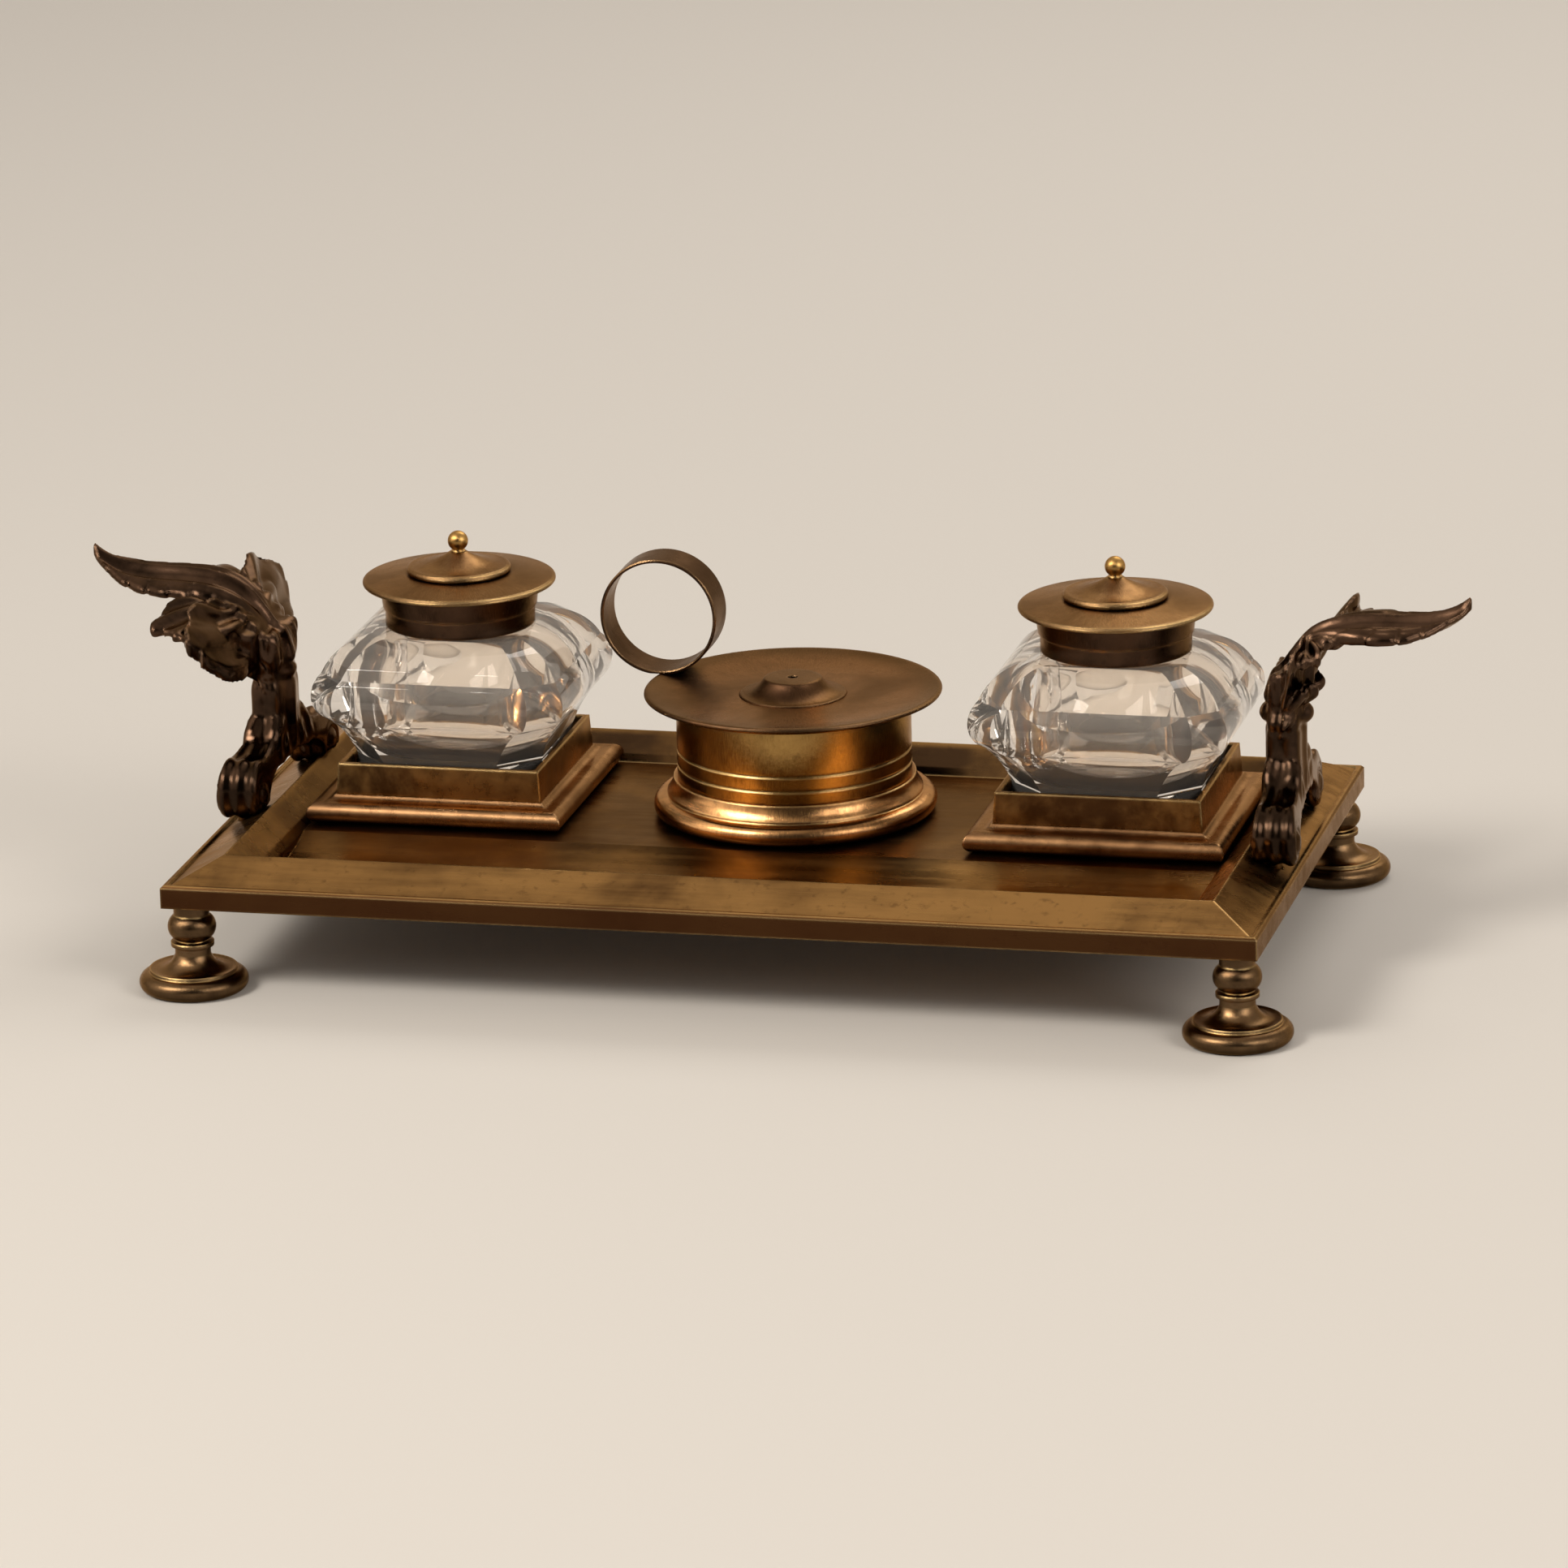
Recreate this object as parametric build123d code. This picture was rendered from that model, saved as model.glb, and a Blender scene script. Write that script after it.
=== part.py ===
"""Brass desk inkstand: a tray on four turned feet with two square glass inkwells,
a round covered pot between them and a cast acanthus bracket at each end.

Millimetres, +Z up. The origin is under the middle of the tray, on the surface that the
feet stand on. +X runs along the tray to the right, +Y to the back, and the long pen
trough is at the front.
"""
from math import atan2, cos, degrees, hypot, radians, sin, sqrt
import os

from build123d import *

# ---------------------------------------------------------------- driving dimensions
# Tray
tray_length = 260.0
tray_width = 140.0
edge_height = 5.5
edge_wall = 2.4
lip_width = 1.5
lip_height = 0.6
band_width = 12.3            # outer edge to ridge
band_rise = 4.6              # top of the lip to the ridge
slope_width = 7.3            # ridge to deck, measured flat
deck_drop = 6.1              # ridge to deck
facet_drops = (2.6, 1.8)     # the upper two of the slope's three facets
facet_widths = (3.2, 2.5)
plate = 1.5
shelf_depth = 67.0           # flat shelf, from the back slope to the pen trough
trough_depth = 2.5
corner_boss_radius = 6.4

# Turned feet
foot_height = 21.0
foot_rim_radius = 12.85
foot_rim_thickness = 4.6
foot_step_radius = 10.3
foot_neck_radius = 4.2
foot_ball_radius = 5.7
foot_inset = 5.7
foot_stud_radius = 2.0
foot_stud_length = 4.0

# Inkwell plinths and galleries
plinth_end_gap = 1.7         # end of the deck to the plinth's underside
plinth_back_gap = 2.2        # back of the deck to the plinth's underside
plinth_half = 31.2
plinth_torus = 2.5           # radius of the half-round edge
plinth_height = 6.0
gallery_half = 24.6
gallery_height = 7.5
gallery_wall = 1.3
gallery_floor = 1.2
gallery_splay = 0.5          # the walls lean in by this much towards the top

# Glass inkwells
glass_fit = 0.5              # gallery wall to glass
glass_half = 31.0            # at the widest
glass_widest = 22.3          # height of the widest line above the glass foot
glass_shoulder = 35.8        # height of the flat shoulder
glass_wall = 5.0
glass_floor = 7.0
glass_cut_foot = 9.0         # what the corner facets take off each side, at the foot
glass_cut_widest = 7.0       # and at the widest line
glass_cut_shoulder = 22.6    # middle to a corner facet, at the shoulder
neck_radius = 16.0
neck_bore = 13.7
neck_height = 8.4
foot_dimple_radius = 9.0
foot_dimple_depth = 1.6

# Inkwell collars and lids
collar_gap = 0.3
collar_top_radius = 19.0
collar_bottom_radius = 17.9
collar_plate = 1.2
collar_mouth = 13.2
lid_radius = 23.1
lid_edge = 1.4
lid_crown = 1.3
lid_boss_radius = 12.5
lid_boss_height = 4.9
lid_skirt_depth = 4.6
lid_skirt_wall = 0.8
finial_radius = 2.45
finial_shank = 1.2
finial_neck = 0.3

# Covered pot
pot_centre_x = 1.8
pot_back_gap = 1.3           # back of the deck to the base's underside
pot_base_radius = 33.8
pot_base_height = 9.4
pot_base_torus = 2.6
pot_radius = 28.0
pot_wall = 1.3
pot_height = 27.6            # deck to the top of the wall
pot_groove_heights = (12.6, 16.2)
pot_groove = 0.45
pan_radius = 35.5
pan_rise = 2.6               # underside at the pot to the top of the rim
pan_plate = 1.2
pan_skirt_depth = 4.2
bell_base_radius = 12.9
bell_top_radius = 6.5
bell_height = 4.1
bell_bore = 1.25
running_gap = 0.3            # lids and cover in their mouths

# Finger ring on the cover
ring_radius = 14.2
ring_wall = 0.8
ring_width = 10.5
ring_flat = 0.2
ring_angle = 160.5           # place round the cover's rim
ring_distance = 36.5         # cover centre to ring centre

# End brackets
bracket_y = 6.5
bracket_inset = 7.0          # tray end to the middle of the stem
bracket_turn = 4.0           # the legs stand a little askew, the front foot further out
bracket_reach = 37.2         # tray end to the leaf tip
leaf_tip_height = 86.5
leaf_rise = 14.6             # stem's top to the leaf's crest
leaf_plate = 2.2
leaf_arch_radius = 165.0
leaf_half_width = 12.0
rib_radius = 1.4
diagonal_lobe = 36.5
diagonal_half_width = 7.6
diagonal_angle = 53.5
diagonal_arch_radius = 88.0
diagonal_step = 0.9          # the diagonal lobes lie this much under the middle one
side_lobe = 41.0
side_half_width = 5.4
side_angle = 83.0
side_arch_radius = 380.0
lower_lobe = 18.5
lower_half_width = 4.6
lower_angle = 58.0
stem_height = 66.0
stem_width = 7.6
stem_depth = 15.6
knuckle_below = 8.0          # stem's top to the middle of its leaf collar
knuckle_half = 2.3
leg_spread = 24.0            # stem to the middle of a scroll foot
leg_rise = 14.5              # scroll centre to where the legs have become the stem
leg_arch = 4.7               # scroll centre to the crown of the arch
stem_above_arch = 0.3        # crown of the arch to the foot of the stem, inside the legs
scroll_radius = 5.2
scroll_width = 10.6
scroll_eye = 1.9
scroll_eye_proud = 0.6

# Bolts and nuts
bolt_radius = 1.5
bolt_head_radius = 3.0
screw_head_radius = 2.5
screw_boss_radius = 3.6
screw_length_above = 2.5     # above the ridge, in the scroll foot
bolt_head = 1.2
nut_across = 6.0
nut_height = 2.0
hole_play = 0.25

# ---------------------------------------------------------------- levels and places
tray_under = foot_height
lip_top = tray_under + edge_height
band_foot = lip_top - lip_height
ridge_top = lip_top + band_rise
deck_top = ridge_top - deck_drop
deck_under = deck_top - plate
deck_inset = band_width + slope_width
trough_front_y = -tray_width / 2 + deck_inset
deck_back_y = tray_width / 2 - deck_inset
plinth_flat = plinth_half - plinth_torus
well_x = tray_length / 2 - deck_inset - plinth_end_gap - plinth_flat
shelf_centre_y = deck_back_y - plinth_back_gap - plinth_flat
shelf_front_y = deck_back_y - shelf_depth
pot_centre_y = deck_back_y - pot_back_gap - (pot_base_radius - pot_base_torus)
plinth_top = deck_top + plinth_height
gallery_top = plinth_top + gallery_height
glass_foot = plinth_top + gallery_floor
shoulder_top = glass_foot + glass_shoulder
neck_top = shoulder_top + neck_height
collar_top = neck_top + collar_plate
lid_seat = collar_top + lid_edge + lid_crown
screw_seat = band_foot - plate
lid_skirt_radius = collar_mouth - running_gap
pot_top = deck_top + pot_height
pot_bore = pot_radius - pot_wall
pan_top = pot_top + pan_rise
bell_seat = pot_top + pan_plate
SIDES = {"left": -1, "right": 1}


# ---------------------------------------------------------------- helpers
def plate_at(half_x, half_y, height):
    """A rectangle centred on the tray, at a height."""
    return Plane.XY.offset(height) * Rectangle(2 * half_x, 2 * half_y)


def frustum(low, low_inset, high, high_inset, length=tray_length, width=tray_width):
    """A four-sided frustum whose sides keep the given insets from the tray's outline."""
    bottom = plate_at(length / 2 - low_inset, width / 2 - low_inset, low)
    top = plate_at(length / 2 - high_inset, width / 2 - high_inset, high)
    return loft([bottom, top], ruled=True)


def cylinder(radius, low, high, x=0.0, y=0.0):
    """An upright cylinder between two heights."""
    middle = (low + high) / 2
    return Pos(x, y, middle) * Cylinder(radius, high - low)


def turned(outline):
    """A solid of revolution about Z, from a closed outline drawn in radius and height."""
    return revolve(make_face(Plane.XZ * outline), Axis.Z)


def path(*pieces):
    """One wire from lines and arcs in the order given."""
    return Curve() + list(pieces)


def half_round(radius, low, high):
    """A half-round edge that bulges outward between two heights."""
    middle = (radius + (high - low) / 2, (low + high) / 2)
    return ThreePointArc((radius, low), middle, (radius, high))


def hexagon_nut(low, high):
    """A hexagon nut with its bolt hole, between two heights."""
    blank = extrude(Plane.XY.offset(low) * RegularPolygon(nut_across / sqrt(3), 6), high - low)
    return blank - cylinder(bolt_radius, low, high)


def place(shape, x, y=shelf_centre_y):
    return Pos(x, y, 0) * shape


# ---------------------------------------------------------------- tray
def corners(inset):
    """The four places at one inset from both outer edges."""
    x, y = tray_length / 2 - inset, tray_width / 2 - inset
    return {
        "front_left": (-x, -y), "front_right": (x, -y),
        "back_left": (-x, y), "back_right": (x, y),
    }


def bolt_places():
    """The two inkwell bolts and the pot's bolt."""
    return [(-well_x, shelf_centre_y), (pot_centre_x, pot_centre_y), (well_x, shelf_centre_y)]


def band_height(inset):
    """Height of the sloping band's surface at an inset from the outer edge."""
    return band_foot + (ridge_top - band_foot) * (inset - lip_width) / (band_width - lip_width)


def tray_outside():
    """The tray's outer form, as if it were filled: edge, raised lip and sloping band."""
    edge = frustum(tray_under, 0, band_foot, 0)
    lip = frustum(band_foot, 0, lip_top, lip_height)
    groove = frustum(band_foot, lip_width, lip_top, lip_width)
    return edge + (lip - groove) + frustum(band_foot, lip_width, ridge_top, band_width)


def trough(extra, low_by):
    """A long round-bottomed channel along the front, its ends on the tray's end slopes."""
    half = (shelf_front_y - trough_front_y) / 2
    radius = (half ** 2 + trough_depth ** 2) / (2 * trough_depth)
    middle_y = (shelf_front_y + trough_front_y) / 2
    length = tray_length - 2 * deck_inset + 2 * extra
    roll = Cylinder(radius + low_by, length, rotation=(0, 90, 0))
    roll = Pos(0, middle_y, deck_top + radius - trough_depth) * roll
    top = deck_top + 0.01
    window = Pos(0, middle_y, top - 10) * Box(length, 2 * half + 2 * extra, 20)
    return roll & window


def bowl_hollow():
    """The space above the deck, inside the ridge: three facets that get flatter downward."""
    upper = ridge_top - facet_drops[0]
    lower = upper - facet_drops[1]
    upper_inset = band_width + facet_widths[0]
    lower_inset = upper_inset + facet_widths[1]
    return (frustum(deck_top, deck_inset, lower, lower_inset)
            + frustum(lower, lower_inset, upper, upper_inset)
            + frustum(upper, upper_inset, ridge_top, band_width))


def tray():
    bowl_skin = frustum(deck_under, deck_inset + plate * 0.2, ridge_top, band_width - plate)
    hollow = frustum(tray_under, edge_wall, band_foot - plate, edge_wall)
    hollow += frustum(band_foot - plate, edge_wall + 0.6, ridge_top - plate * 1.25, band_width)
    hollow -= bowl_skin
    hollow -= trough(plate, plate)
    body = tray_outside() - bowl_hollow() - hollow - trough(0, 0)
    for x, y in corners(foot_inset).values():
        boss = cylinder(corner_boss_radius, tray_under, ridge_top, x, y)
        body += boss & tray_outside()
    for x, y in corners(foot_inset).values():
        body -= cylinder(foot_stud_radius + hole_play / 2, tray_under,
                         tray_under + foot_stud_length + hole_play, x, y)
    for x, y in bolt_places():
        body -= cylinder(bolt_radius + hole_play, deck_under - 1, deck_top + 1, x, y)
    for x, y in bracket_screw_places():
        boss = cylinder(screw_boss_radius, screw_seat, ridge_top, x, y)
        body += boss & tray_outside()
        body -= cylinder(bolt_radius + hole_play, tray_under, ridge_top + 1, x, y)
    return body


# ---------------------------------------------------------------- feet
def foot():
    """A turned foot: flat base, round rim, quirk, trumpet neck, ring, ball and stud."""
    half = foot_rim_thickness / 2
    sole = foot_rim_radius - half
    step_top = foot_rim_thickness + 0.9
    neck_z = foot_height * 0.42
    ring_low = neck_z + 1.8
    ball_low = ring_low + 1.5
    ball_neck = foot_neck_radius - 0.8
    ball_middle = ball_low + 3.1
    ball_high = ball_middle + 3.1
    profile = path(
        Line((0, 0), (sole, 0)),
        half_round(sole, 0, foot_rim_thickness),
        Line((sole, foot_rim_thickness), (foot_step_radius, foot_rim_thickness)),
        Line((foot_step_radius, foot_rim_thickness), (foot_step_radius, step_top)),
        ThreePointArc((foot_step_radius, step_top), (5.9, step_top + 0.9),
                      (foot_neck_radius, neck_z)),
        Line((foot_neck_radius, neck_z), (foot_neck_radius, ring_low)),
        Line((foot_neck_radius, ring_low), (foot_neck_radius + 0.9, ring_low + 0.2)),
        Line((foot_neck_radius + 0.9, ring_low + 0.2), (foot_neck_radius + 0.9, ball_low - 0.3)),
        Line((foot_neck_radius + 0.9, ball_low - 0.3), (ball_neck, ball_low)),
        ThreePointArc((ball_neck, ball_low), (foot_ball_radius, ball_middle),
                      (foot_neck_radius, ball_high)),
        Line((foot_neck_radius, ball_high), (foot_neck_radius, foot_height)),
        Line((foot_neck_radius, foot_height), (foot_stud_radius, foot_height)),
        Line((foot_stud_radius, foot_height), (foot_stud_radius, foot_height + foot_stud_length)),
        Line((foot_stud_radius, foot_height + foot_stud_length),
             (0, foot_height + foot_stud_length)),
        Line((0, foot_height + foot_stud_length), (0, 0)),
    )
    return turned(profile)


# ---------------------------------------------------------------- plinths and galleries
def plinth():
    """A square moulded plinth: half-round edge, fillet and hollow up to the gallery."""
    flat = plinth_flat
    torus_top = deck_top + 2 * plinth_torus
    profile = path(
        Line((0, deck_top), (flat, deck_top)),
        half_round(flat, deck_top, torus_top),
        Line((flat, torus_top), (flat - 1.0, torus_top)),
        ThreePointArc((flat - 1.0, torus_top), (gallery_half + 1.6, torus_top + 0.25),
                      (gallery_half + gallery_splay + 0.4, plinth_top)),
        Line((gallery_half + gallery_splay + 0.4, plinth_top), (0, plinth_top)),
        Line((0, plinth_top), (0, deck_top)),
    )
    face = make_face(Plane.XZ * profile)
    both = face + mirror(face, Plane.YZ)
    along_y = extrude(both, plinth_half, both=True)
    body = along_y & Rot(0, 0, 90) * along_y
    return body - cylinder(bolt_radius + hole_play, deck_top, plinth_top)


def gallery():
    """A square open box that holds the glass, with its walls leaning in a little."""
    outer_low = plate_at(gallery_half + gallery_splay, gallery_half + gallery_splay, plinth_top)
    outer_high = plate_at(gallery_half, gallery_half, gallery_top)
    outer = loft([outer_low, outer_high], ruled=True)
    inner_half = gallery_half - gallery_wall
    height = gallery_top - glass_foot
    inner = Pos(0, 0, glass_foot + height / 2) * Box(2 * inner_half, 2 * inner_half, height)
    return outer - inner - cylinder(bolt_radius + hole_play, plinth_top, glass_foot)


def clamp_bolt(head_seat):
    """A flat round-headed bolt from a seat down through the deck to its nut."""
    shank_end = deck_under - nut_height - 0.4
    return (cylinder(bolt_radius, shank_end, head_seat)
            + cylinder(bolt_head_radius, head_seat, head_seat + bolt_head))


def clamp_nut():
    return hexagon_nut(deck_under - nut_height, deck_under)


# ---------------------------------------------------------------- glass inkwells
def cushion_profile(foot_half, wide, shoulder_half):
    """Half of the glass's upright outline, from its foot to the flat shoulder."""
    low = glass_foot
    cheek = low + 6.0
    belly = low + glass_widest
    waist = (foot_half + 0.66 * (wide - foot_half), low + 0.73 * glass_widest)
    crown = (wide - 0.18 * (wide - shoulder_half), belly + 5.5)
    return path(
        Line((0, low), (foot_half, low)),
        Line((foot_half, low), (foot_half, cheek)),
        ThreePointArc((foot_half, cheek),
                      (foot_half + 0.25 * (wide - foot_half), low + 0.51 * glass_widest), waist),
        ThreePointArc(waist, (wide, belly), crown),
        ThreePointArc(crown,
                      (shoulder_half + 0.50 * (wide - shoulder_half), belly + 0.80 *
                       (glass_shoulder - glass_widest)),
                      (shoulder_half, shoulder_top)),
        Line((shoulder_half, shoulder_top), (0, shoulder_top)),
        Line((0, shoulder_top), (0, low)),
    )


def cushion_slab(foot_half, wide, shoulder_half, angle):
    """One curved-sided slab of the glass, turned about the upright axis."""
    half = make_face(Plane.XZ * cushion_profile(foot_half, wide, shoulder_half))
    slab = extrude(half + mirror(half, Plane.YZ), 2 * wide, both=True)
    return Rot(0, 0, angle) * slab


def glass_inside():
    """The ink space: a round belly that draws in to the neck."""
    floor = glass_foot + glass_floor
    belly = glass_foot + glass_widest
    wide = glass_half - glass_wall
    profile = path(
        Line((0, floor), (wide * 0.62, floor)),
        ThreePointArc((wide * 0.62, floor), (wide * 0.86, floor + 5.5), (wide, belly)),
        ThreePointArc((wide, belly), (wide * 0.84, belly + 8.0), (neck_bore, shoulder_top - 2.0)),
        Line((neck_bore, shoulder_top - 2.0), (neck_bore, neck_top)),
        Line((neck_bore, neck_top), (0, neck_top)),
        Line((0, neck_top), (0, floor)),
    )
    return turned(profile)


def glass():
    """A square cushion-shaped inkwell with its corners cut in long curved facets."""
    foot_half = gallery_half - gallery_wall - glass_fit
    shoulder_half = collar_bottom_radius + 0.6
    body = cushion_slab(foot_half, glass_half, shoulder_half, 0)
    body &= cushion_slab(foot_half, glass_half, shoulder_half, 90)
    cut_foot = (2 * foot_half - glass_cut_foot) / sqrt(2)
    cut_wide = (2 * glass_half - glass_cut_widest) / sqrt(2)
    for angle in (45, 135):
        body &= cushion_slab(cut_foot, cut_wide, glass_cut_shoulder, angle)
    body += cylinder(neck_radius, shoulder_top, neck_top)
    body -= glass_inside()
    return body - cylinder(foot_dimple_radius, glass_foot, glass_foot + foot_dimple_depth)


# ---------------------------------------------------------------- collars and lids
def collar():
    """A brass collar round the glass neck, with a groove between its two tiers."""
    low, high = shoulder_top, collar_top
    split = low + 0.45 * (high - low)
    at_split = collar_bottom_radius + 0.5 * (collar_top_radius - collar_bottom_radius)
    profile = path(
        Line((neck_radius + collar_gap, low), (collar_bottom_radius, low)),
        Line((collar_bottom_radius, low), (at_split - 0.5, split - 0.4)),
        Line((at_split - 0.5, split - 0.4), (at_split, split)),
        Line((at_split, split), (collar_top_radius, high - 0.8)),
        Line((collar_top_radius, high - 0.8), (collar_top_radius, high)),
        Line((collar_top_radius, high), (collar_mouth, high)),
        Line((collar_mouth, high), (collar_mouth, neck_top)),
        Line((collar_mouth, neck_top), (neck_radius + collar_gap, neck_top)),
        Line((neck_radius + collar_gap, neck_top), (neck_radius + collar_gap, low)),
    )
    return turned(profile)


def lid_disc():
    """A round lid with a rounded edge, rising a little to the seat of its boss."""
    half = lid_edge / 2
    rim = lid_radius - half
    hole = finial_shank + hole_play / 2
    profile = path(
        Line((hole, collar_top), (rim, collar_top)),
        half_round(rim, collar_top, collar_top + lid_edge),
        Line((rim, collar_top + lid_edge), (lid_boss_radius + 0.8, lid_seat)),
        Line((lid_boss_radius + 0.8, lid_seat), (hole, lid_seat)),
        Line((hole, lid_seat), (hole, collar_top)),
    )
    return turned(profile)


def lid_skirt():
    """The ring under the lid that finds the mouth of the collar."""
    low = collar_top - lid_skirt_depth
    return (cylinder(lid_skirt_radius, low, collar_top)
            - cylinder(lid_skirt_radius - lid_skirt_wall, low, collar_top))


def lid_boss():
    """The raised boss on a lid: a round bead, then a hollow cone up to the finial."""
    bead = 0.85
    low = lid_seat
    top = low + lid_boss_height
    edge = lid_boss_radius - bead
    hole = finial_shank + hole_play / 2
    profile = path(
        Line((hole, low), (edge, low)),
        half_round(edge, low, low + 2 * bead),
        Line((edge, low + 2 * bead), (edge - 0.8, low + 2 * bead)),
        ThreePointArc((edge - 0.8, low + 2 * bead), (5.0, low + 3.3), (2.1, top)),
        Line((2.1, top), (hole, top)),
        Line((hole, top), (hole, low)),
    )
    return turned(profile)


def finial():
    """A ball on a short neck, with a shank down through the boss and the lid."""
    seat = lid_seat + lid_boss_height
    centre = seat + finial_neck + finial_radius * 0.94
    foot_r = finial_radius * 0.34
    low = collar_top - nut_height
    ball = Pos(0, 0, centre) * Sphere(finial_radius)
    neck = cylinder(finial_shank + 0.5, seat, seat + 0.35) + cylinder(foot_r + 0.3, seat, centre)
    return ball + neck + cylinder(finial_shank, low, seat)


def finial_nut():
    blank = extrude(Plane.XY.offset(collar_top - nut_height) * RegularPolygon(3.0, 6), nut_height)
    return blank - cylinder(finial_shank, collar_top - nut_height, collar_top)


# ---------------------------------------------------------------- covered pot
def pot_base():
    """The pot's spread foot: bottom plate, round rim, hollow moulding and inner spigot."""
    low, high = deck_top, deck_top + pot_base_height
    rim = pot_base_radius - pot_base_torus
    rim_top = low + 2 * pot_base_torus
    hole = bolt_radius + hole_play
    spigot = pot_bore - hole_play / 2
    profile = path(
        Line((hole, low), (rim, low)),
        half_round(rim, low, rim_top),
        Line((rim, rim_top), (rim - 0.7, rim_top)),
        Line((rim - 0.7, rim_top), (rim - 0.7, rim_top + 0.7)),
        ThreePointArc((rim - 0.7, rim_top + 0.7), (rim - 1.9, high - 1.6),
                      (pot_radius + 0.9, high)),
        Line((pot_radius + 0.9, high), (spigot, high)),
        Line((spigot, high), (spigot, high + 2.0)),
        Line((spigot, high + 2.0), (spigot - 1.2, high + 2.0)),
        Line((spigot - 1.2, high + 2.0), (spigot - 1.2, low + 2.0)),
        Line((spigot - 1.2, low + 2.0), (hole, low + 2.0)),
        Line((hole, low + 2.0), (hole, low)),
    )
    return turned(profile)


def pot_body():
    """The pot's plain wall, with two turned grooves."""
    low = deck_top + pot_base_height
    wall = cylinder(pot_radius, low, pot_top) - cylinder(pot_bore, low, pot_top)
    for height in pot_groove_heights:
        level = deck_top + height
        cutter = cylinder(pot_radius + 1, level - pot_groove / 2, level + pot_groove / 2)
        wall -= cutter - cylinder(pot_radius - pot_groove, level - 1, level + 1)
    return wall


def pan():
    """The cover: a shallow dished pan with a rounded rim, flat where it meets the pot."""
    edge = 0.55
    seat_radius = pot_radius + 0.6
    rim = pan_radius - edge
    rim_low = pan_top - 2 * edge
    bowl_middle = bell_base_radius + 0.54 * (pan_radius - bell_base_radius)
    hole = bell_bore + 0.8
    profile = path(
        Line((hole, pot_top), (seat_radius, pot_top)),
        ThreePointArc((seat_radius, pot_top), (pan_radius - 3.2, pot_top + 0.42), (rim, rim_low)),
        half_round(rim, rim_low, pan_top),
        Line((rim, pan_top), (rim - 0.6, pan_top)),
        ThreePointArc((rim - 0.6, pan_top), (bowl_middle, bell_seat + 0.1 * pan_rise),
                      (bell_base_radius + 1.0, bell_seat)),
        Line((bell_base_radius + 1.0, bell_seat), (hole, bell_seat)),
        Line((hole, bell_seat), (hole, pot_top)),
    )
    return turned(profile)


def pan_skirt():
    """The ring under the cover that finds the mouth of the pot."""
    outer = pot_bore - running_gap
    low = pot_top - pan_skirt_depth
    return cylinder(outer, low, pot_top) - cylinder(outer - 0.9, low, pot_top)


def bell():
    """The bell-shaped boss in the middle of the cover, bored for a taper nozzle."""
    top = bell_seat + bell_height
    profile = path(
        Line((bell_bore, bell_seat), (bell_base_radius, bell_seat)),
        Line((bell_base_radius, bell_seat), (bell_base_radius - 0.3, bell_seat + 0.35)),
        ThreePointArc((bell_base_radius - 0.3, bell_seat + 0.35),
                      (bell_top_radius + 2.3, bell_seat + 1.7), (bell_top_radius + 0.6, top - 0.5)),
        ThreePointArc((bell_top_radius + 0.6, top - 0.5), (bell_top_radius + 0.3, top - 0.12),
                      (bell_top_radius - 0.1, top)),
        Line((bell_top_radius - 0.1, top), (bell_bore, top)),
        Line((bell_bore, top), (bell_bore, bell_seat)),
    )
    return turned(profile)


def finger_ring():
    """A thin flat band bent to a ring, its lowest part dressed flat for the solder."""
    angle = radians(ring_angle)
    centre_x = ring_distance * cos(angle)
    centre_y = ring_distance * sin(angle)
    centre_z = pan_top + ring_radius - ring_flat
    band = Cylinder(ring_radius, ring_width) - Cylinder(ring_radius - ring_wall, ring_width)
    band = Pos(centre_x, centre_y, centre_z) * Rot(90, 0, 0) * band
    below = Box(3 * ring_radius, 3 * ring_radius, ring_radius)
    below = Pos(centre_x, centre_y, pan_top - ring_radius / 2) * below
    return band - below


# ---------------------------------------------------------------- end brackets
def bracket_screw_places():
    """Screws up through the band into the scroll feet."""
    turn = radians(bracket_turn)
    out, back = leg_spread * sin(turn), leg_spread * cos(turn)
    x = tray_length / 2 - bracket_inset
    return [(side * (x - end * out), bracket_y + end * back)
            for side in (-1, 1) for end in (-1, 1)]


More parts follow.
